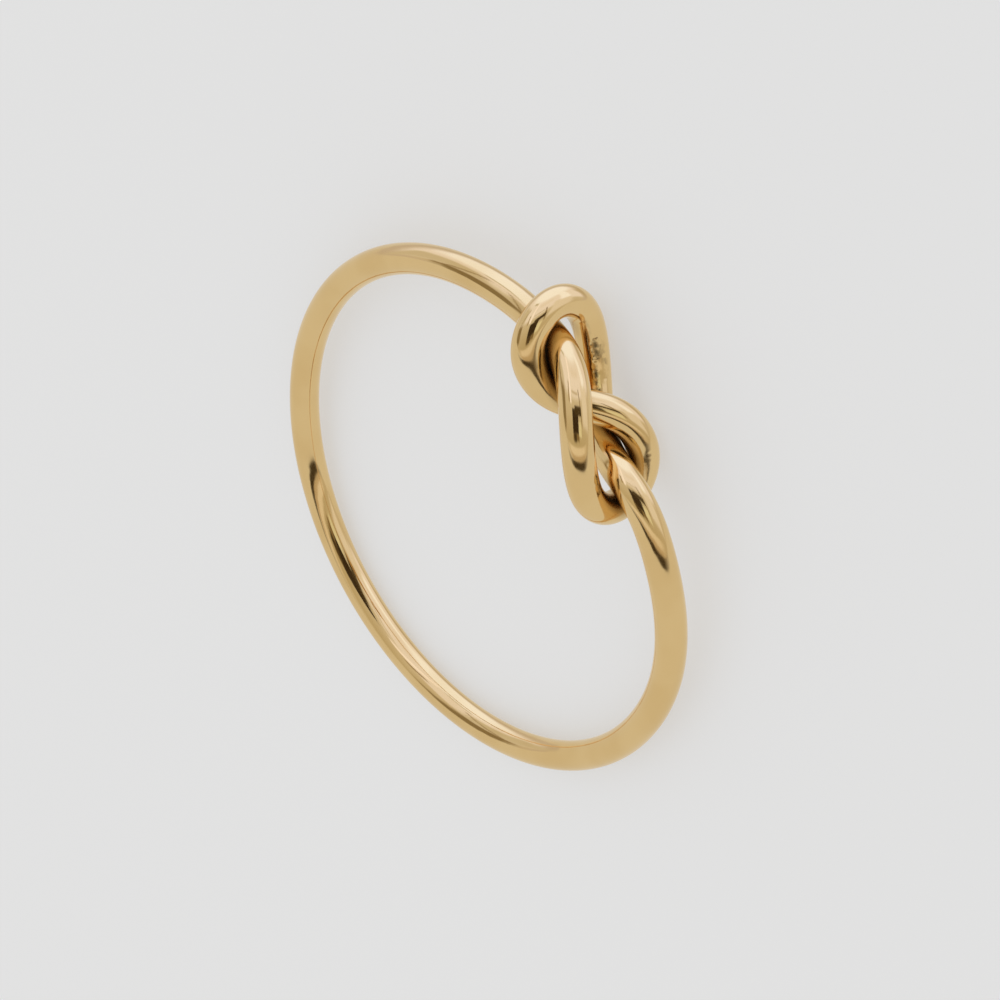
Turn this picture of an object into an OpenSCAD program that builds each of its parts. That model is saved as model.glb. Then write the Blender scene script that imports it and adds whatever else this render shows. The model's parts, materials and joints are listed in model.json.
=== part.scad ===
// Knot ring: one round wire, bent to a finger ring and tied in a figure-eight knot.
// The wire is a closed sweep along a smooth curve, so band and knot are one solid.
// The ring lies on its side as it comes to rest by itself: the finger hole runs up
// along +Z, the knot faces -Y, and the origin is on the surface under its middle.

/* [Band] */
// Inside diameter of the band, where the finger goes
finger_d = 17.3; // [16.5:0.1:21]
// Thickness of the round wire
wire_d = 1.07; // [0.95:0.01:1.08]

/* [Knot] */
// Size of the knot, where 1 draws its strands up until they nearly touch
knot_spread = 1; // [1:0.01:1.05]
// How far the middle of the knot is set in from the band towards the finger
knot_inset = 0.40; // [0.36:0.02:0.5]
// How far the middle of the knot stands above the plane of the band
knot_lift = 0.42; // [0.36:0.02:0.5]

/* [Shoulder] */
// How far the band rises out of its plane where it meets the upper end of the knot
shoulder_rise = 0.52; // [0.4:0.02:0.6]
// Angle round the ring over which it comes down again
shoulder_fade = 55; // [50:1:70]

/* [Mesh] */
// Sides of the wire
wire_sides = 20; // [12:2:24]
// Rings of the sweep between two control points of the knot
knot_steps = 7; // [4:1:8]
// Rings of the sweep between two control points of the band
band_steps = 2; // [1:1:3]

/* [Hidden] */

wire_r = wire_d / 2;
band_r = finger_d / 2 + wire_r;
band_points = 40;

// Columns of the knot table
ALONG = 0;  // along the band, away from the raised shoulder
ACROSS = 1; // across the band, up from its plane
OUT = 2;    // out, away from the finger

// Half of the knot in wire thicknesses, from its middle to the raised shoulder. The other
// half is this one turned through the middle, because a figure-eight knot looks the same
// through its own centre.
half_knot = [
    // along, across, out
    [ 0.85,  0.80, -0.30], // behind the long strand that crosses the front
    [ 2.00,  1.30,  0.35], // along the upper edge, into the first loop
    [ 2.75,  0.80,  1.25], // out over the wire that comes from the low shoulder
    [ 2.95, -0.35,  1.50], // round the end of the loop
    [ 2.35, -1.35,  0.95], // back along the lower edge
    [ 0.80, -1.35, -0.50], // in behind the middle of the knot
    [-0.60, -0.65, -1.00], // along the finger side
    [-1.65, -0.15, -0.70], // out through the second loop
    [-2.60,  0.15, -0.20]  // over the end of that loop, to the raised shoulder
];
last = len(half_knot);

// Half table to whole knot: rows before the middle mirror the ones behind it
function knot_row(i) = i == 0 ? [0, 0, 0] : i < 0 ? -half_knot[-i - 1] : half_knot[i - 1];
knot_rows = [for (i = [-last:last]) wire_d * knot_spread * knot_row(i)];

// The band lies in Z = 0 about the Z axis, and the knot faces -Y
knot = [for (row = knot_rows)
    [row[ALONG], knot_inset - band_r - row[OUT], knot_lift + row[ACROSS]]];

function unit(v) = v / norm(v);
function sum(list) = [for (p = list) 1] * list;
function column(list, axis) = [for (p = list) p[axis]];
function middle(list, axis) = (min(column(list, axis)) + max(column(list, axis))) / 2;

// Angle of a point round the ring, from the knot towards +X
function angle_of(p) = atan2(p.x, -p.y);

// The band takes the long way round, from the last point of the knot to its first
band_from = angle_of(knot[len(knot) - 1]);
band_step = (360 + band_from - angle_of(knot[0])) / (band_points + 1);

// A cubic B-spline over even points on a circle runs inside it by this share
spline_share = (2 + cos(band_step)) / 3;
function faded(turn) = (1 + cos(180 * min(turn / shoulder_fade, 1))) / 2;
function band_point(turn) =
    let (a = band_from - turn, r = band_r / spline_share)
    [r * sin(a), -r * cos(a), shoulder_rise * faded(turn)];
band = [for (i = [1:band_points]) band_point(i * band_step)];

// Closed cubic B-spline over all control points, so that the bend never jumps
control = concat(knot, band);
function control_at(i) = control[(i + len(control)) % len(control)];
function spline(i, t) =
    (pow(1 - t, 3) * control_at(i - 1)
    + (4 - 6 * pow(t, 2) + 3 * pow(t, 3)) * control_at(i)
    + (1 + 3 * t + 3 * pow(t, 2) - 3 * pow(t, 3)) * control_at(i + 1)
    + pow(t, 3) * control_at(i + 2)) / 6;
function steps(i) = i < len(knot) ? knot_steps : band_steps;
path = [for (i = [0:len(control) - 1]) for (k = [0:steps(i) - 1]) spline(i, k / steps(i))];
rings = len(path);

// The ring rests on two spots: the lowest of the knot, and the one on the band that
// lies beyond the balance point as seen from there
function reach(i) = norm(path[(i + 1) % rings] - path[i]);
reaches = [for (i = [0:rings - 1]) reach(i)];
balance = reaches * path / sum(reaches);
knot_path = [for (i = [0:len(knot) * knot_steps - 1]) path[i]];
low_z = min(column(knot_path, 2));
low = [for (p = knot_path) if (p.z == low_z) [p.x, p.y, 0]][0];
lean = unit([balance.x, balance.y, 0] - low);
far = low + (sqrt(pow(band_r, 2) - pow(norm(low), 2) + pow(lean * low, 2)) - lean * low) * lean;
far_dir = unit(far);

// The plane under both spots touches the band along its tangent at the far one
rest_tilt = max([for (p = knot_path) atan2(-p.z, band_r - p * far_dir)]);
rest_axis = [-far_dir.y, far_dir.x, 0];
function rest(p) =
    p * cos(rest_tilt) + cross(rest_axis, p) * sin(rest_tilt)
    + rest_axis * (rest_axis * p) * (1 - cos(rest_tilt));

// Directions square to the wire, carried along it without twist
function along(i) = unit(path[(i + 1) % rings] - path[(i + rings - 1) % rings]);
function square_to(v, t) = unit(v - (v * t) * t);
side_dirs = [for (i = 0, v = square_to([0, 0, 1], along(0));
    i <= rings;
    i = i + 1, v = square_to(v, along(i % rings))) v];

// Once round the closed wire they arrive turned, and that turn is spread over it
closing_turn = atan2(cross(side_dirs[0], side_dirs[rings]) * along(0),
    side_dirs[0] * side_dirs[rings]);
function surface_point(i, j) =
    let (a = 360 * j / wire_sides - closing_turn * i / rings)
    path[i] + wire_r * (cos(a) * side_dirs[i] + sin(a) * cross(along(i), side_dirs[i]));
surface = [for (i = [0:rings - 1]) for (j = [0:wire_sides - 1]) rest(surface_point(i, j))];

// Two triangles between each two neighbours on one ring and on the next
function index(i, j) = (i % rings) * wire_sides + j % wire_sides;
function facet(i, j, first) = first
    ? [index(i, j), index(i + 1, j + 1), index(i, j + 1)]
    : [index(i, j), index(i + 1, j), index(i + 1, j + 1)];
facets = [for (i = [0:rings - 1]) for (j = [0:wire_sides - 1])
    for (first = [true, false]) facet(i, j, first)];

module knot_ring() {
    color("goldenrod")
        translate([-middle(surface, 0), -middle(surface, 1), -min(column(surface, 2))])
            polyhedron(points = surface, faces = facets, convexity = 10);
}

knot_ring();
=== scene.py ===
"""Looks of a knot ring: one polished gold wire, tied in a figure-eight knot at the front.

The ring lies on its side on a pale table. Everything is in metres, in the frame of the
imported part: +Z runs up along the finger hole and the knot faces -Y.
"""

import json
import logging
import math
from dataclasses import dataclass, field
from enum import Enum

import bpy
import numpy as np
from mathutils import Matrix, Vector


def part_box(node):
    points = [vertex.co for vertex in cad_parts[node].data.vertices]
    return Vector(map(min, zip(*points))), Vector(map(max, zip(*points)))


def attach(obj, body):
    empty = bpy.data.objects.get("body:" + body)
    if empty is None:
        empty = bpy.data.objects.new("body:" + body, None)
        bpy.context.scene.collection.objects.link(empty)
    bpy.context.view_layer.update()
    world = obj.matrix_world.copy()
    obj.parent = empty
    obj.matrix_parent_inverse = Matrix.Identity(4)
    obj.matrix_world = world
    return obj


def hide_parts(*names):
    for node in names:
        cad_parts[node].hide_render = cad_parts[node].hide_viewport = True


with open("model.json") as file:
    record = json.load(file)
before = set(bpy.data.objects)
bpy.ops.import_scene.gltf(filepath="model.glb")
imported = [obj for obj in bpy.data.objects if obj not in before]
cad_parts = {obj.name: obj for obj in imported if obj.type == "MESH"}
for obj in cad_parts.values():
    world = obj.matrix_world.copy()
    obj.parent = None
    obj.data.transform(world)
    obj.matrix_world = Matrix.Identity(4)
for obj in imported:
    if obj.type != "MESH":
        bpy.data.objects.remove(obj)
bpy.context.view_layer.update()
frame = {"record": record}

log = logging.getLogger("knot_ring")

Socket = bpy.types.NodeSocket
Colour = tuple[float, float, float]
Source = Socket | Colour | float  # what a socket can be fed with
Span = tuple[float, float]  # where a smooth step starts and where it ends

PICTURE_PX = 1000  # width and height of the picture
MM = 0.001


class Column(Enum):
    """Columns of the knot table."""

    ALONG = 0
    ACROSS = 1
    OUT = 2


# Half of the knot in wire thicknesses, from its middle to the raised shoulder. The other
# half is this one turned through the middle.
HALF_KNOT = (
    # along, across, out
    (0.85, 0.80, -0.30),  # behind the long strand that crosses the front
    (2.00, 1.30, 0.35),  # along the upper edge, into the first loop
    (2.75, 0.80, 1.25),  # out over the wire that comes from the low shoulder
    (2.95, -0.35, 1.50),  # round the end of the loop
    (2.35, -1.35, 0.95),  # back along the lower edge
    (0.80, -1.35, -0.50),  # in behind the middle of the knot
    (-0.60, -0.65, -1.00),  # along the finger side
    (-1.65, -0.15, -0.70),  # out through the second loop
    (-2.60, 0.15, -0.20),  # over the end of that loop, to the raised shoulder
)


def unit(vector: np.ndarray) -> np.ndarray:
    """The vector at length 1."""
    return vector / np.linalg.norm(vector)


def reaches(line: np.ndarray) -> np.ndarray:
    """Distances from each point of a closed line to the next one."""
    return np.linalg.norm(np.roll(line, -1, axis=0) - line, axis=1)


def faded(off: np.ndarray) -> np.ndarray:
    """A share that falls softly from 1 at an offset of 0 to 0 at an offset of 1."""
    return np.cos(np.clip(off, 0, 1) * math.pi / 2) ** 2


def turned(points: np.ndarray, axis: np.ndarray, angle: float) -> np.ndarray:
    """Turns points about an axis through the origin.

    Args:
        points: One point or a row of points.
        axis: Unit vector of the axis.
        angle: Angle in radians, right-handed about the axis.

    Returns:
        The turned points, in the shape that they came in.
    """
    along_axis = (points @ axis)[..., None] * axis
    return (
        points * math.cos(angle)
        + np.cross(axis, points) * math.sin(angle)
        + along_axis * (1 - math.cos(angle))
    )


@dataclass
class WirePath:
    """Centre line of the wire: a closed cubic B-spline over the knot and the band."""

    finger_d: float  # inside diameter of the band
    wire_d: float  # thickness of the wire
    knot_inset: float = 0.40 * MM  # the knot's middle, in from the band
    knot_lift: float = 0.42 * MM  # the knot's middle, above the plane of the band
    shoulder_rise: float = 0.52 * MM  # the band's rise at the upper end of the knot
    shoulder_fade: float = math.radians(55)  # angle over which it comes down again
    band_points: int = 40  # control points of the band
    knot_steps: int = 36  # rings of the sweep between two points of the knot
    band_steps: int = 9  # and between two points of the band

    @property
    def band_r(self) -> float:
        """Radius of the band's centre line."""
        return (self.finger_d + self.wire_d) / 2

    def knot(self) -> np.ndarray:
        """Places the control points of the knot, from the low shoulder to the raised one.

        Returns:
            One row for each point.
        """
        half = np.array(HALF_KNOT) * self.wire_d
        rows = np.vstack([-half[::-1], np.zeros((1, 3)), half])
        along = rows[:, Column.ALONG.value]
        across = rows[:, Column.ACROSS.value]
        out = rows[:, Column.OUT.value]
        return np.c_[along, self.knot_inset - self.band_r - out, self.knot_lift + across]

    def band(self, knot: np.ndarray) -> np.ndarray:
        """Control points of the band, the long way round from the knot's end to its start.

        Args:
            knot: Control points of the knot.

        Returns:
            Points that make the spline run on the band's true radius.
        """
        first, last = (math.atan2(p[0], -p[1]) for p in (knot[0], knot[-1]))
        step = (math.tau + last - first) / (self.band_points + 1)
        turn = step * np.arange(1, self.band_points + 1)
        radius = self.band_r * 3 / (2 + math.cos(step))
        rise = self.shoulder_rise * faded(turn / self.shoulder_fade)
        around = last - turn
        return np.c_[radius * np.sin(around), -radius * np.cos(around), rise]

    def sampled(self) -> tuple[np.ndarray, int]:
        """Points along the whole wire, before it is laid down.

        Returns:
            The points, and how many of the first ones belong to the knot.
        """
        knot = self.knot()
        control = np.vstack([knot, self.band(knot)])
        points = []
        for i in range(len(control)):
            steps = self.knot_steps if i < len(knot) else self.band_steps
            t = np.arange(steps) / steps
            near = control[[(i + k) % len(control) for k in (-1, 0, 1, 2)]]
            weights = np.c_[
                (1 - t) ** 3,
                4 - 6 * t**2 + 3 * t**3,
                1 + 3 * t + 3 * t**2 - 3 * t**3,
                t**3,
            ]
            points.append(weights @ near / 6)
        return np.vstack(points), len(knot) * self.knot_steps


@dataclass
class RestingPose:
    """How the ring lies: on the lowest spot of the knot and on the far side of the band."""

    axis: np.ndarray
    tilt: float
    shift: np.ndarray = field(default_factory=lambda: np.zeros(3))

    @classmethod
    def of(cls, path: WirePath) -> "RestingPose":
        """Works out the pose from the balance of the wire.

        Args:
            path: The wire's centre line.

        Returns:
            The pose, with no shift yet.
        """
        points, knot_count = path.sampled()
        lengths = reaches(points)
        in_plane = (1, 1, 0)
        balance = lengths @ points / lengths.sum() * in_plane
        knot = points[:knot_count]
        low = knot[knot[:, 2].argmin()] * in_plane
        lean = unit(balance - low)
        across = lean @ low
        far = unit(low + (math.sqrt(path.band_r**2 - low @ low + across**2) - across) * lean)
        tilt = np.arctan2(-knot[:, 2], path.band_r - knot @ far).max()
        return cls(axis=np.array((-far[1], far[0], 0.0)), tilt=float(tilt))

    def laid(self, points: np.ndarray) -> np.ndarray:
        """Points of the upright model, where they are once the ring lies."""
        return self.tipped(points) + self.shift

    def tipped(self, direction: np.ndarray) -> np.ndarray:
        """A direction of the upright model, once the ring lies."""
        return turned(direction, self.axis, self.tilt)


class NodeKit:
    """Short ways to add and link nodes in one node tree."""

    # Sockets of a Mix node that carry colours, where several have the same name
    MIX_BELOW, MIX_ABOVE, MIX_RESULT = 6, 7, 2

    def __init__(self, tree: bpy.types.NodeTree) -> None:
        """Keeps the tree that the nodes go to.

        Args:
            tree: The node tree.
        """
        self.tree = tree

    def add(self, kind: str, **settings: object) -> bpy.types.Node:
        """Adds a node.

        Args:
            kind: Blender's name of the node type.
            settings: Values of the node's own properties.

        Returns:
            The new node.
        """
        node = self.tree.nodes.new(kind)
        for name, value in settings.items():
            setattr(node, name, value)
        return node

    def feed(self, socket: Socket, source: Source) -> None:
        """Links a socket to another one, or sets its value.

        Args:
            socket: The input to fill.
            source: An output socket, a number, a vector or a colour.
        """
        if isinstance(source, Socket):
            self.tree.links.new(source, socket)
        elif isinstance(source, tuple) and len(source) == 3 and socket.type == "RGBA":
            socket.default_value = (*source, 1.0)
        else:
            socket.default_value = source

    def math(self, operation: str, *sources: Source) -> Socket:
        """Adds a Math node.

        Args:
            operation: Blender's name of the operation.
            sources: What goes into its inputs.

        Returns:
            The node's result.
        """
        node = self.add("ShaderNodeMath", operation=operation)
        for socket, source in zip(node.inputs, sources):
            self.feed(socket, source)
        return node.outputs[0]

    def dot(self, vector: Socket, axis: np.ndarray) -> Socket:
        """Measures how far a vector reaches along a fixed axis.

        Args:
            vector: What is measured.
            axis: Unit vector of the axis.

        Returns:
            The reach, which is negative against the axis.
        """
        node = self.add("ShaderNodeVectorMath", operation="DOT_PRODUCT")
        self.feed(node.inputs[0], vector)
        self.feed(node.inputs[1], tuple(axis))
        return node.outputs["Value"]

    def ramp(self, value: Source, start: float, end: float) -> Socket:
        """Adds a smooth step.

        Args:
            value: What is measured.
            start: Where the result is 0.
            end: Where the result is 1.

        Returns:
            A socket between 0 and 1.
        """
        rising = start < end
        node = self.add("ShaderNodeMapRange", interpolation_type="SMOOTHSTEP")
        low, high = sorted((start, end))
        self.feed(node.inputs["Value"], value)
        self.feed(node.inputs["From Min"], low)
        self.feed(node.inputs["From Max"], high)
        self.feed(node.inputs["To Min"], 0.0 if rising else 1.0)
        self.feed(node.inputs["To Max"], 1.0 if rising else 0.0)
        return node.outputs["Result"]

    def mix(self, factor: Source, below: Source, above: Source) -> Socket:
        """Mixes two colours.

        Args:
            factor: Share of the second colour.
            below: The first colour.
            above: The second colour.

        Returns:
            The mixed colour.
        """
        node = self.add("ShaderNodeMix", data_type="RGBA")
        self.feed(node.inputs["Factor"], factor)
        self.feed(node.inputs[self.MIX_BELOW], below)
        self.feed(node.inputs[self.MIX_ABOVE], above)
        return node.outputs[self.MIX_RESULT]

    def noise(self, vector: Socket, scale: float, detail: float) -> Socket:
        """Adds a noise texture.

        Args:
            vector: Where the noise is looked up.
            scale: Cells for each unit of it.
            detail: Octaves of finer noise.

        Returns:
            The noise, about 0.5 on average.
        """
        node = self.add("ShaderNodeTexNoise")
        self.feed(node.inputs["Vector"], vector)
        self.feed(node.inputs["Scale"], scale)
        self.feed(node.inputs["Detail"], detail)
        return node.outputs["Fac"]

    def attribute(self, name: str, output: str = "Fac") -> Socket:
        """A value that the mesh carries at its points."""
        return self.add("ShaderNodeAttribute", attribute_name=name).outputs[output]

    def bump(self, height: Socket, distance: float, below: Socket | None = None) -> Socket:
        """Adds a bump.

        Args:
            height: Height between 0 and 1.
            distance: How high a height of 1 stands, in metres.
            below: Normal that the bump is laid on.

        Returns:
            The bumped normal.
        """
        node = self.add("ShaderNodeBump")
        self.feed(node.inputs["Height"], height)
        self.feed(node.inputs["Distance"], distance)
        if below is not None:
            self.feed(node.inputs["Normal"], below)
        return node.outputs["Normal"]


@dataclass(frozen=True)
class PolishedGold:
    """Finish of the wire: polished gold plating, with tarnish and painted shade where the strands
    meet.

    A scale is how many cells of noise come to a metre, a span says over which values of
    the noise the effect sets in, and heights are in metres.
    """

    name: str = "polished_gold"
    colour: Colour = (0.834, 0.601, 0.296)
    deep_colour: Colour = (0.795, 0.560, 0.262)
    deep_scale: float = 450.0
    deep_span: Span = (0.35, 0.65)
    # Partly tarnish, partly painted shade: darkens the gold in the creases where strands meet
    tarnish_and_shade_colour: Colour = (0.40, 0.275, 0.125)
    tarnish_and_shade_scale: float = 1500.0
    tarnish_and_shade_span: Span = (0.15, 0.50)
    stain_colour: Colour = (0.13, 0.092, 0.042)
    stain_scale: float = 3600.0
    stain_span: Span = (0.40, 0.58)
    roughness: float = 0.085
    smudge_scale: float = 900.0
    smudge_span: Span = (0.45, 0.75)
    smudge_roughness: float = 0.04  # more of it where the polish is smudged
    worn_roughness: float = 0.26  # more of it at the worn spots
    crease_roughness: float = 0.20  # more of it where the strands meet
    wave_scale: float = 1500.0
    wave_height: float = 5e-6
    drawn_height: float = 7e-7  # of the marks that run along the drawn wire
    eaten_height: float = 1.8e-5  # of the uneven metal at the worn spots

    def material(self) -> bpy.types.Material:
        """Builds the node material.

        Returns:
            The finished material.
        """
        material = bpy.data.materials.new(self.name)
        material.use_nodes = True
        kit = NodeKit(material.node_tree)
        shader = material.node_tree.nodes["Principled BSDF"]
        shader.inputs["Metallic"].default_value = 1.0
        place = kit.add("ShaderNodeTexCoord").outputs["Object"]
        crease, worn = kit.attribute("crease"), kit.attribute("worn")
        mottle = kit.noise(place, self.stain_scale, detail=1.5)
        kit.feed(shader.inputs["Base Color"], self.tinted(kit, place, mottle, crease, worn))
        kit.feed(shader.inputs["Roughness"], self.roughened(kit, place, crease, worn))
        waves = kit.bump(kit.noise(place, self.wave_scale, detail=1.0), self.wave_height)
        marks = kit.noise(kit.attribute("drawn", "Vector"), scale=1.0, detail=3.0)
        drawn = kit.bump(marks, self.drawn_height, waves)
        eaten = kit.math("MULTIPLY", mottle, worn)
        kit.feed(shader.inputs["Normal"], kit.bump(eaten, self.eaten_height, drawn))
        return material

    def tinted(
        self, kit: NodeKit, place: Socket, mottle: Socket, crease: Socket, worn: Socket
    ) -> Socket:
        """Adds the nodes of the gold's colour, with tarnish and painted shade near other strands.

        Args:
            kit: The material's node tree.
            place: Place on the ring.
            mottle: Fine noise of the stains.
            crease: Nearness of another strand.
            worn: How worn the surface is.

        Returns:
            The colour.
        """
        deep = kit.ramp(kit.noise(place, self.deep_scale, detail=2.0), *self.deep_span)
        colour = kit.mix(deep, self.colour, self.deep_colour)
        patchy = kit.ramp(kit.noise(place, self.tarnish_and_shade_scale, detail=2.0), *self.tarnish_and_shade_span)
        # Painted shade and tarnish in the creases, where another strand is near
        tarnish_and_shade_share = kit.math("MULTIPLY", crease, patchy)
        colour = kit.mix(tarnish_and_shade_share, colour, self.tarnish_and_shade_colour)
        stained = kit.math("MULTIPLY", worn, kit.ramp(mottle, *self.stain_span))
        return kit.mix(stained, colour, self.stain_colour)

    def roughened(self, kit: NodeKit, place: Socket, crease: Socket, worn: Socket) -> Socket:
        """Adds the nodes of the gold's roughness.

        Args:
            kit: The material's node tree.
            place: Place on the ring.
            crease: Nearness of another strand.
            worn: How worn the surface is.

        Returns:
            The roughness.
        """
        smudge = kit.ramp(kit.noise(place, self.smudge_scale, detail=3.0), *self.smudge_span)
        rough = kit.math("MULTIPLY_ADD", smudge, self.smudge_roughness, self.roughness)
        rough = kit.math("MULTIPLY_ADD", worn, self.worn_roughness, rough)
        return kit.math("MULTIPLY_ADD", crease, self.crease_roughness, rough)


@dataclass(frozen=True)
class Swelling:
    """A slight thickening of the wire, where its strands press on each other."""

    at: float  # place along the wire, in points of the knot from its middle
    reach: float = 0.9  # how far it goes to either side, in points
    share: float = 0.022  # of the wire's radius


@dataclass(frozen=True)
class WornSpot:
    """A stained and pitted spot on the wire."""

    at: float  # place along the wire, in points of the knot from its middle
    angle: float  # round the wire, in degrees
    length: float  # half of it, in points
    width: float  # half of it, in degrees
    pits: int
    strength: float = 1.0


@dataclass
class KnotRing:
    """The ring itself: a round wire swept along its centre line."""

    path: WirePath
    pose: RestingPose
    finish: PolishedGold
    sides: int = 80
    seed: int = 7  # of the pits' places and sizes
    strand_apart: float = 2.4  # thicknesses along the wire, beyond which a strand is another
    strand_step: int = 3  # rings of another strand that are passed over to the next one
    crease_reach: float = 0.48 * MM  # from another strand, where tarnish and painted shade start
    drawn_cells: float = 11.0  # cells of the drawing marks for each radius of the wire
    drawn_length: float = 3 * MM  # of one cell along the wire
    worn_reach: float = 1.4  # how far wear goes, in sizes of its spot
    pit_reach: tuple[float, float] = (0.06 * MM, 0.13 * MM)  # least and greatest radius
    pit_depth: tuple[float, float] = (0.008 * MM, 0.020 * MM)
    swellings: tuple[Swelling, ...] = (Swelling(1.7), Swelling(-7.9))
    worn_spots: tuple[WornSpot, ...] = (
        WornSpot(5.50, 276.0, 0.22, 14.0, 14),
        WornSpot(6.05, 284.0, 0.36, 8.0, 14),
        WornSpot(5.75, 250.0, 0.35, 16.0, 8, 0.45),
        WornSpot(4.85, 292.0, 0.45, 12.0, 1, 0.35),
        WornSpot(-5.20, 224.0, 0.30, 14.0, 6, 0.5),
        WornSpot(-2.25, 222.0, 0.35, 16.0, 3, 0.2),
    )

    def centred(self, low: Vector, high: Vector) -> None:
        """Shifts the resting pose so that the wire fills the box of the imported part.

        Args:
            low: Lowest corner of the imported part.
            high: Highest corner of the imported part.
        """
        points = self.surface().reshape(-1, 3)
        middle = (points.min(0) + points.max(0)) / 2
        target = (low + high) / 2
        self.pose.shift = np.array(
            (target.x - middle[0], target.y - middle[1], low.z - points[:, 2].min())
        )

    def places(self, line: np.ndarray) -> np.ndarray:
        """Places of the sweep's rings, in points of the knot from its middle."""
        return np.arange(len(line)) / self.path.knot_steps - len(HALF_KNOT)

    def near(self, line: np.ndarray, at: float, angle: float) -> tuple[np.ndarray, np.ndarray]:
        """Offsets of the surface from one spot on it.

        Args:
            line: Centre line.
            at: Place of the spot along the wire, in points.
            angle: Place of the spot round the wire, in degrees.

        Returns:
            Offset along the wire in points, and round it in degrees.
        """
        along = (self.places(line) - at)[:, None]
        around = (360 * np.arange(self.sides) / self.sides - angle + 180) % 360 - 180
        return along, around[None, :]

    def swell(self, line: np.ndarray) -> np.ndarray:
        """Thickens the wire where its strands press on each other.

        Args:
            line: Centre line.

        Returns:
            Radius of the wire at each ring of the sweep.
        """
        radius = np.full(len(line), self.path.wire_d / 2)
        for swelling in self.swellings:
            off = np.abs(self.places(line) - swelling.at) / swelling.reach
            radius *= 1 + swelling.share * faded(off)
        return radius

    def wear(self, line: np.ndarray) -> np.ndarray:
        """Spreads the worn spots over the surface.

        Args:
            line: Centre line.

        Returns:
            How worn each point is, between 0 and 1, with one row for each ring.
        """
        worn = np.zeros((len(line), self.sides))
        for spot in self.worn_spots:
            along, around = self.near(line, spot.at, spot.angle)
            off = np.hypot(along / spot.length, around / spot.width) / self.worn_reach
            worn = np.maximum(worn, spot.strength * faded(off))
        return worn

    def pits(self, line: np.ndarray) -> np.ndarray:
        """Depth of the pits at each point of the surface.

        Args:
            line: Centre line.

        Returns:
            One row for each ring of the sweep.
        """
        chance = np.random.default_rng(self.seed)
        depth = np.zeros((len(line), self.sides))
        step = reaches(line)
        for spot in self.worn_spots:
            for _ in range(spot.pits):
                at = spot.at + spot.length * chance.uniform(-1, 1)
                angle = spot.angle + spot.width * chance.uniform(-1, 1)
                reach = chance.uniform(*self.pit_reach)
                deepest = spot.strength * chance.uniform(*self.pit_depth)
                along, around = self.near(line, at, angle)
                ring = round((at + len(HALF_KNOT)) * self.path.knot_steps) % len(line)
                along = along * self.path.knot_steps * step[ring]
                around = np.radians(around) * self.path.wire_d / 2
                off = np.clip(np.hypot(along, around) / reach, 0, 1)
                depth = np.maximum(depth, deepest * (1 - off**2) ** 2)
        return depth

    def surface(self) -> np.ndarray:
        """Points of the wire's surface.

        Returns:
            One row of points for each ring of the sweep.
        """
        line, _ = self.path.sampled()
        tangents = np.roll(line, -1, axis=0) - np.roll(line, 1, axis=0)
        tangents /= np.linalg.norm(tangents, axis=1)[:, None]
        side = np.array((0.0, 0.0, 1.0))
        sides = []
        for tangent in [*tangents, tangents[0]]:
            side = unit(side - (side @ tangent) * tangent)
            sides.append(side)
        first, closing = sides[0], sides.pop()
        twist = math.atan2(np.cross(first, closing) @ tangents[0], first @ closing)
        sides = np.array(sides)
        binormals = np.cross(tangents, sides)
        angles = (
            math.tau * np.arange(self.sides) / self.sides
            - twist * (np.arange(len(line)) / len(line))[:, None]
        )[:, :, None]
        radius = (self.swell(line)[:, None] - self.pits(line))[:, :, None]
        outwards = np.cos(angles) * sides[:, None] + np.sin(angles) * binormals[:, None]
        return self.pose.laid(line[:, None] + radius * outwards)

    def crease(self, points: np.ndarray) -> np.ndarray:
        """How close each point of the surface is to another strand.

        Args:
            points: The surface.

        Returns:
            Values between 0 and 1, which is where the strands touch.
        """
        line = self.pose.laid(self.path.sampled()[0])
        along = np.cumsum(reaches(line))
        nearness = []
        for i, ring in enumerate(points):
            apart = np.abs(along - along[i])
            apart = np.minimum(apart, along[-1] - apart)
            others = line[apart > self.strand_apart * self.path.wire_d][:: self.strand_step]
            gaps = np.linalg.norm(ring[:, None] - others[None], axis=2).min(1)
            nearness.append(1 - (gaps - self.path.wire_d / 2) / self.crease_reach)
        nearness = np.clip(np.array(nearness), 0, 1)
        return nearness**2 * (3 - 2 * nearness)

    def drawn(self, line: np.ndarray) -> np.ndarray:
        """Coordinates in which drawing marks run along the wire.

        Args:
            line: Centre line.

        Returns:
            One vector for each point, in which a cell is 1 long.
        """
        along = np.cumsum(reaches(line))
        along = np.abs(along - along[-1] / 2) / self.drawn_length
        angles = math.tau * np.arange(self.sides) / self.sides
        grid = np.zeros((len(line), self.sides, 3))
        grid[..., 0] = self.drawn_cells * np.cos(angles)
        grid[..., 1] = self.drawn_cells * np.sin(angles)
        grid[..., 2] = along[:, None]
        return grid

    def build(self) -> bpy.types.Object:
        """Makes the wire's mesh and dresses it.

        Returns:
            The wire, riding on the part's body.
        """
        points = self.surface()
        line, _ = self.path.sampled()
        i, j = np.meshgrid(np.arange(len(line)), np.arange(self.sides), indexing="ij")
        next_i, next_j = (i + 1) % len(line), (j + 1) % self.sides
        corners = ((i, j), (i, next_j), (next_i, next_j), (next_i, j))
        faces = np.stack([a * self.sides + b for a, b in corners], axis=-1).reshape(-1, 4)
        mesh = bpy.data.meshes.new("knot_wire")
        mesh.from_pydata(points.reshape(-1, 3).tolist(), [], faces.tolist())
        mesh.shade_smooth()
        for name, values in (("crease", self.crease(points)), ("worn", self.wear(line))):
            mesh.attributes.new(name, "FLOAT", "POINT").data.foreach_set("value", values.ravel())
        drawn = mesh.attributes.new("drawn", "FLOAT_VECTOR", "POINT")
        drawn.data.foreach_set("vector", self.drawn(line).ravel())
        mesh.materials.append(self.finish.material())
        wire = bpy.data.objects.new("knot_wire", mesh)
        bpy.context.scene.collection.objects.link(wire)
        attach(wire, "root")
        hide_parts("knot_ring")
        return wire


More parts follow.
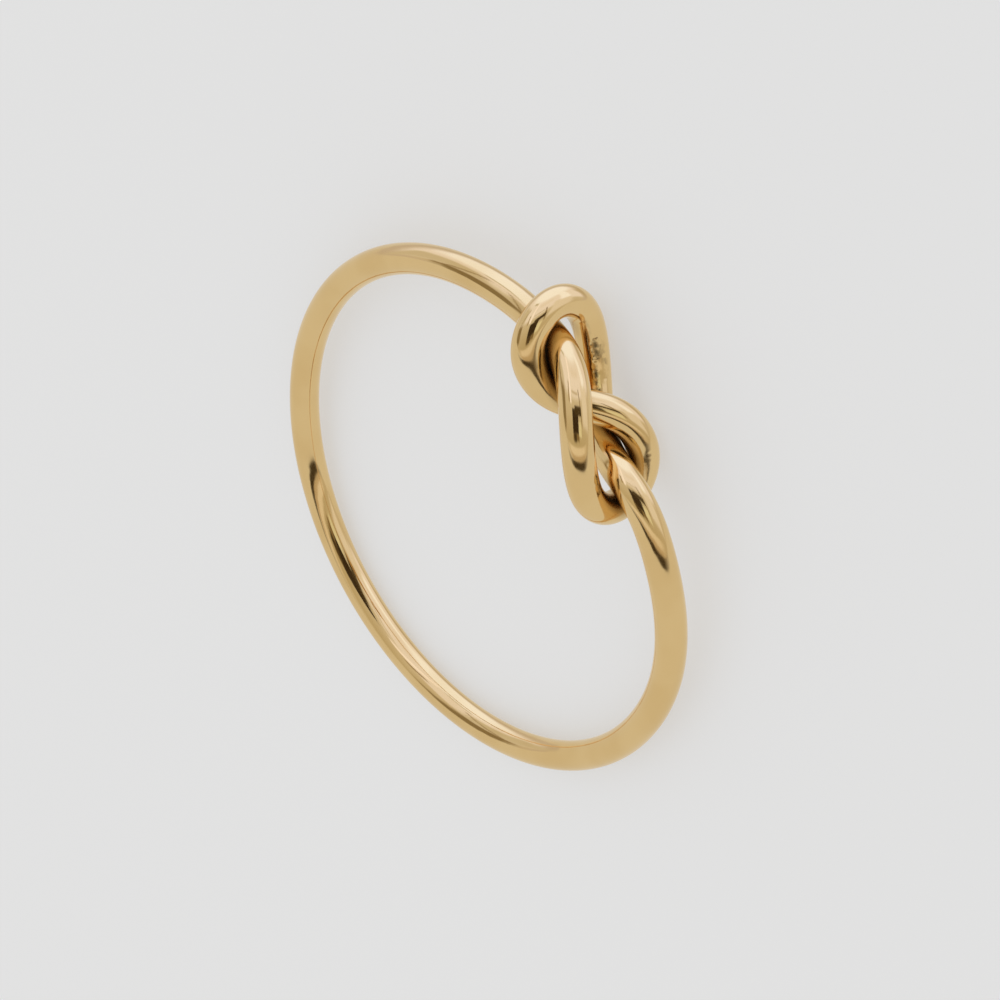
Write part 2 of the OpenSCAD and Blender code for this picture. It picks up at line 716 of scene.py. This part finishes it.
@dataclass
class Viewpoint:
    """The camera, placed by how the ring looks from it."""

    distance: float = 9.688  # from the ring's middle, in radii of the band
    azimuth: float = math.radians(-9.93)  # round the ring from the knot
    elevation: float = math.radians(34.6)  # above the plane of the ring
    roll: float = math.radians(-117.93)
    knot_turn: float = math.radians(0.7)  # the picture's zero line, past the knot's middle
    middle_px: tuple[float, float] = (478.3, 512.9)  # the ring's middle in the picture
    lens_px: float = 2600.0  # focal length in pixels of the picture
    sensor_mm: float = 36.0
    nearest: float = 1 * MM  # what is nearer to the camera isn't drawn

    def straight(self, pose: RestingPose) -> np.ndarray:
        """Works out how the camera is held when it looks straight at the ring's middle.

        Args:
            pose: How the ring lies.

        Returns:
            Its axes, one in each column: to the right, up, and away from the ring.
        """
        around = self.knot_turn + self.azimuth
        flat = np.array((math.sin(around), -math.cos(around), 0.0))
        up = np.array((0.0, 0.0, 1.0))
        away = math.cos(self.elevation) * flat + math.sin(self.elevation) * up
        backward = pose.tipped(away)
        right = unit(np.cross(pose.tipped(up), backward))
        right = turned(right, backward, self.roll)
        return np.c_[right, np.cross(backward, right), backward]

    def swung(self, axes: np.ndarray) -> np.ndarray:
        """Swings the camera until the ring's middle is at its place in the picture.

        Args:
            axes: Axes of the camera that looks straight at the middle.

        Returns:
            Axes of the swung camera.
        """
        column, row = self.middle_px
        aim = unit(np.array((column - PICTURE_PX / 2, PICTURE_PX / 2 - row, -self.lens_px)))
        hinge = np.cross(aim, (0.0, 0.0, -1.0))
        swing = math.asin(np.linalg.norm(hinge))
        return axes @ np.array([turned(axis, unit(hinge), swing) for axis in np.eye(3)]).T

    def build(self, path: WirePath, pose: RestingPose) -> bpy.types.Object:
        """Makes the camera and makes it the scene's own.

        Args:
            path: The wire's centre line.
            pose: How the ring lies.

        Returns:
            The camera.
        """
        data = bpy.data.cameras.new("camera")
        data.sensor_width = self.sensor_mm
        data.lens = self.lens_px / PICTURE_PX * self.sensor_mm
        data.clip_start = self.nearest
        camera = bpy.data.objects.new("camera", data)
        axes = self.straight(pose)
        place = pose.shift + self.distance * path.band_r * axes[:, 2]
        attitude = Matrix(self.swung(axes).tolist()).to_4x4()
        camera.matrix_world = Matrix.Translation(place) @ attitude
        bpy.context.scene.collection.objects.link(camera)
        bpy.context.scene.camera = camera
        return camera


@dataclass(frozen=True)
class Bearing:
    """Where a ray goes that leaves the gold, against the axes of the resting camera."""

    up: Socket  # how far it reaches along the camera's upward axis
    back: Socket  # and along the axis that points away from the ring
    aside: Socket  # angle to the picture's right, in degrees
    above: Socket  # angle upwards, in degrees
    pitch: Socket  # angle upwards as it looks from the camera's side, in degrees

    @classmethod
    def of(cls, kit: NodeKit, view: Matrix) -> "Bearing":
        """Adds the nodes that measure a ray.

        Args:
            kit: The world's node tree.
            view: The camera's place and attitude.

        Returns:
            The ray's reaches and angles.
        """
        ray = kit.add("ShaderNodeTexCoord").outputs["Generated"]
        right, up, back = (kit.dot(ray, np.array(view.col[i][:3])) for i in range(3))
        return cls(
            up=up,
            back=back,
            aside=kit.math("DEGREES", kit.math("ARCTAN2", right, back)),
            above=kit.math("DEGREES", kit.math("ARCSINE", up)),
            pitch=kit.math("DEGREES", kit.math("ARCTAN2", up, back)),
        )


@dataclass(frozen=True)
class Patch:
    """A soft-edged field of the studio's surroundings, with its angles in degrees."""

    name: str  # also the label of its node
    aside: float
    above: float
    half_width: float
    half_height: float
    soft: float
    colour: Colour
    slant: float = 0.0  # degrees that it leans aside for each degree up

    def laid_over(self, kit: NodeKit, below: Source, bearing: Bearing) -> Socket:
        """Adds the nodes that lay the patch over what is behind it.

        Args:
            kit: The world's node tree.
            below: Colour so far.
            bearing: Where the ray goes.

        Returns:
            The colour with the patch.
        """
        off_up = kit.math("SUBTRACT", bearing.above, self.above)
        leaned = kit.math("MULTIPLY_ADD", off_up, -self.slant, bearing.aside)
        off_aside = kit.math("SUBTRACT", leaned, self.aside)
        inside = [
            kit.ramp(kit.math("ABSOLUTE", off), half + self.soft, half - self.soft)
            for off, half in ((off_aside, self.half_width), (off_up, self.half_height))
        ]
        colour = kit.mix(kit.math("MULTIPLY", *inside), below, self.colour)
        colour.node.label = self.name
        return colour


@dataclass(frozen=True)
class TableEdge:
    """What the gold mirrors of the table, and of what shows over its far edge.

    Angles are in degrees. Over the edge run a dark gap, a tan field and a light strip,
    which all fade towards the sides.
    """

    table_light: Colour = (0.74, 0.735, 0.70)
    table_pitch: float = -44.5  # where the table ends
    table_soft: float = 0.012  # how softly it ends, in reaches of the ray
    gap_light: Colour = (0.05, 0.035, 0.015)
    gap_pitch: float = -44.7
    gap_half: float = 3.3
    gap_soft: float = 0.8
    gap_rise: float = 0.05  # degrees that the gap rises for each degree aside
    gap_bend: float = 0.0012  # degrees that it drops for the square of each degree
    gap_fade: Span = (85.0, 35.0)
    tan_light: Colour = (0.58, 0.50, 0.38)
    tan_top: Span = (9.5, 7.0)  # over the gap's middle
    strip_light: Colour = (0.83, 0.80, 0.76)
    strip_top: Span = (17.0, 14.5)
    field_fade: Span = (75.0, 40.0)

    def over_gap(self, kit: NodeKit, bearing: Bearing) -> Socket:
        """Adds the nodes that measure how far a ray goes over the gap's middle.

        Args:
            kit: The world's node tree.
            bearing: Where the ray goes.

        Returns:
            The angle in degrees.
        """
        level = kit.math("MULTIPLY_ADD", bearing.aside, -self.gap_rise, bearing.pitch)
        square = kit.math("MULTIPLY", bearing.aside, bearing.aside)
        level = kit.math("MULTIPLY_ADD", square, self.gap_bend, level)
        return kit.math("SUBTRACT", level, self.gap_pitch)

    def laid_over(self, kit: NodeKit, below: Source, bearing: Bearing) -> Socket:
        """Adds the nodes that lay the table and what is over its edge on the rest.

        Args:
            kit: The world's node tree.
            below: Colour so far.
            bearing: Where the ray goes.

        Returns:
            The colour with the table.
        """
        over = self.over_gap(kit, bearing)
        sideways = kit.math("ABSOLUTE", bearing.aside)
        near = kit.ramp(sideways, *self.field_fade)
        colour = below
        for top, light in ((self.strip_top, self.strip_light), (self.tan_top, self.tan_light)):
            inside = kit.math("MULTIPLY", kit.ramp(over, *top), near)
            colour = kit.mix(inside, colour, light)
        slope = math.radians(-self.table_pitch)
        off_table = kit.math(
            "ADD",
            kit.math("MULTIPLY", bearing.up, math.cos(slope)),
            kit.math("MULTIPLY", bearing.back, math.sin(slope)),
        )
        table = kit.ramp(off_table, self.table_soft, -self.table_soft)
        colour = kit.mix(table, colour, self.table_light)
        off_gap = kit.math("ABSOLUTE", over)
        gap = kit.ramp(off_gap, self.gap_half + self.gap_soft, self.gap_half - self.gap_soft)
        gap = kit.math("MULTIPLY", gap, kit.ramp(sideways, *self.gap_fade))
        return kit.mix(gap, colour, self.gap_light)


@dataclass
class Studio:
    """Pale table, soft light all round and the surroundings that the gold mirrors.

    A span says between which angles, in degrees, one light turns softly into the next.
    """

    table_size: float = 4.0  # so large that its far edge stays out of the low views
    table_colour: Colour = (0.36, 0.36, 0.361)
    table_roughness: float = 0.9
    glow_colour: Colour = (1.0, 1.0, 0.995)
    table_glow: float = 0.42
    sky_colour: Colour = (1.0, 1.0, 1.0)
    sky: float = 0.90  # strength of the plain light
    room_light: Colour = (0.56, 0.52, 0.40)
    wall_light: Colour = (0.70, 0.69, 0.66)
    wall_span: Span = (-30.0, 22.0)
    ceiling_light: Colour = (0.95, 1.00, 1.28)
    ceiling_span: Span = (14.0, 24.0)
    top_light: Colour = (1.10, 1.27, 1.78)
    top_span: Span = (52.0, 66.0)
    rear_light: Colour = (0.64, 0.62, 0.64)
    rear_span: Span = (110.0, 128.0)
    edge: TableEdge = field(default_factory=TableEdge)
    patches: tuple[Patch, ...] = (
        Patch("side_wall", -88.0, 32.0, 23.0, 14.0, 5.0, (0.68, 0.68, 0.66)),
        Patch("rear_wall", 140.0, 25.0, 30.0, 22.0, 8.0, (0.58, 0.54, 0.47)),
        Patch("right_wall", 63.0, 13.0, 18.0, 18.0, 4.0, (0.86, 0.88, 0.99)),
        Patch("brown_field", -79.0, 4.0, 11.0, 13.0, 4.0, (0.28, 0.235, 0.15)),
        Patch("bright_side", 70.0, 44.0, 11.0, 17.0, 4.0, (1.10, 1.26, 1.75)),
        Patch("bright_ridge", -29.0, 34.0, 4.0, 22.0, 1.5, (1.14, 1.20, 1.58)),
        Patch("brown_streak", -40.0, 21.0, 2.4, 9.0, 1.5, (0.34, 0.27, 0.15)),
        Patch("high_line", -52.0, 57.0, 14.0, 2.2, 1.2, (0.60, 0.60, 0.56)),
        Patch("middle_line", 14.0, 45.0, 24.0, 4.0, 4.0, (0.90, 0.93, 1.12)),
        Patch("faint_line", 0.0, 24.0, 20.0, 1.2, 1.2, (0.60, 0.57, 0.52)),
        Patch("dark_bar", 31.0, 11.0, 2.2, 17.0, 1.2, (0.28, 0.23, 0.14), -0.4),
        Patch("thin_slant", -76.0, 28.0, 1.4, 17.0, 1.0, (0.30, 0.24, 0.14), 0.85),
        Patch("brown_band", -4.0, -19.5, 20.0, 3.8, 1.4, (0.25, 0.19, 0.10)),
        Patch("dark_foot", -10.0, -20.5, 9.0, 4.5, 1.2, (0.08, 0.055, 0.025)),
        Patch("dark_field", -4.5, -4.0, 18.5, 12.0, 1.0, (0.045, 0.03, 0.014)),
        Patch("dark_arm", 14.0, 7.0, 21.0, 4.6, 1.2, (0.07, 0.05, 0.022)),
        Patch("light_card", 23.5, -10.5, 9.0, 7.0, 1.2, (0.82, 0.86, 0.75)),
    )

    def build(self, camera: bpy.types.Object) -> bpy.types.Object:
        """Makes the table and the light.

        Args:
            camera: The camera, whose resting place says where the surroundings are.

        Returns:
            The table.
        """
        bpy.context.scene.view_settings.view_transform = "Standard"
        table = self.table()
        self.surroundings(camera.matrix_world)
        return table

    def table(self) -> bpy.types.Object:
        """Makes the table, which the gold mirrors as a part of the surroundings.

        Returns:
            The table.
        """
        mesh = bpy.data.meshes.new("table")
        half = self.table_size / 2
        corners = [(-half, -half, 0), (half, -half, 0), (half, half, 0), (-half, half, 0)]
        mesh.from_pydata(corners, [], [(0, 1, 2, 3)])
        material = bpy.data.materials.new("table_paper")
        material.use_nodes = True
        shader = material.node_tree.nodes["Principled BSDF"]
        shader.inputs["Base Color"].default_value = (*self.table_colour, 1.0)
        shader.inputs["Roughness"].default_value = self.table_roughness
        shader.inputs["Emission Color"].default_value = (*self.glow_colour, 1.0)
        shader.inputs["Emission Strength"].default_value = self.table_glow
        mesh.materials.append(material)
        table = bpy.data.objects.new("table", mesh)
        table.visible_glossy = False
        table.visible_shadow = False
        bpy.context.scene.collection.objects.link(table)
        return table

    def surroundings(self, view: Matrix) -> None:
        """Makes the world: plain light on the table, and the studio in the gold.

        Args:
            view: The camera's place and attitude.
        """
        world = bpy.data.worlds.new("studio")
        bpy.context.scene.world = world
        world.use_nodes = True
        kit = NodeKit(world.node_tree)
        bearing = Bearing.of(kit, view)
        colour = self.room(kit, bearing)
        for patch in self.patches:
            colour = patch.laid_over(kit, colour, bearing)
        colour = self.edge.laid_over(kit, colour, bearing)
        mirrored = world.node_tree.nodes["Background"]
        kit.feed(mirrored.inputs["Color"], colour)
        plain = kit.add("ShaderNodeBackground")
        kit.feed(plain.inputs["Color"], self.sky_colour)
        kit.feed(plain.inputs["Strength"], self.sky)
        chooser = kit.add("ShaderNodeMixShader")
        kit.feed(chooser.inputs["Fac"], kit.add("ShaderNodeLightPath").outputs["Is Glossy Ray"])
        kit.feed(chooser.inputs[1], plain.outputs["Background"])
        kit.feed(chooser.inputs[2], mirrored.outputs["Background"])
        kit.feed(world.node_tree.nodes["World Output"].inputs["Surface"], chooser.outputs["Shader"])

    def room(self, kit: NodeKit, bearing: Bearing) -> Socket:
        """Adds the nodes of the room's walls and ceiling.

        Args:
            kit: The world's node tree.
            bearing: Where the ray goes.

        Returns:
            The colour without the patches.
        """
        colour = self.room_light
        for angle, span, light in (
            (bearing.above, self.wall_span, self.wall_light),
            (bearing.above, self.ceiling_span, self.ceiling_light),
            (bearing.above, self.top_span, self.top_light),
            (bearing.pitch, self.rear_span, self.rear_light),
        ):
            colour = kit.mix(kit.ramp(angle, *span), colour, light)
        return colour


def main() -> None:
    """Builds the ring, the camera and the studio, and reports each piece."""
    logging.basicConfig(level=logging.INFO, format="%(name)s: %(message)s")
    hole = frame["record"]["mounts"][0]["dims"]  # as long as the wire is thick
    path = WirePath(finger_d=2 * hole["r_mm"] * MM, wire_d=hole["length_mm"] * MM)
    ring = KnotRing(path=path, pose=RestingPose.of(path), finish=PolishedGold())
    ring.centred(*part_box("knot_ring"))
    wire = ring.build()
    camera = Viewpoint().build(path, ring.pose)
    table = Studio().build(camera)
    for piece in (wire, table):
        log.info("%s: %d faces", piece.name, len(piece.data.polygons))


if __name__ == "__main__":
    main()
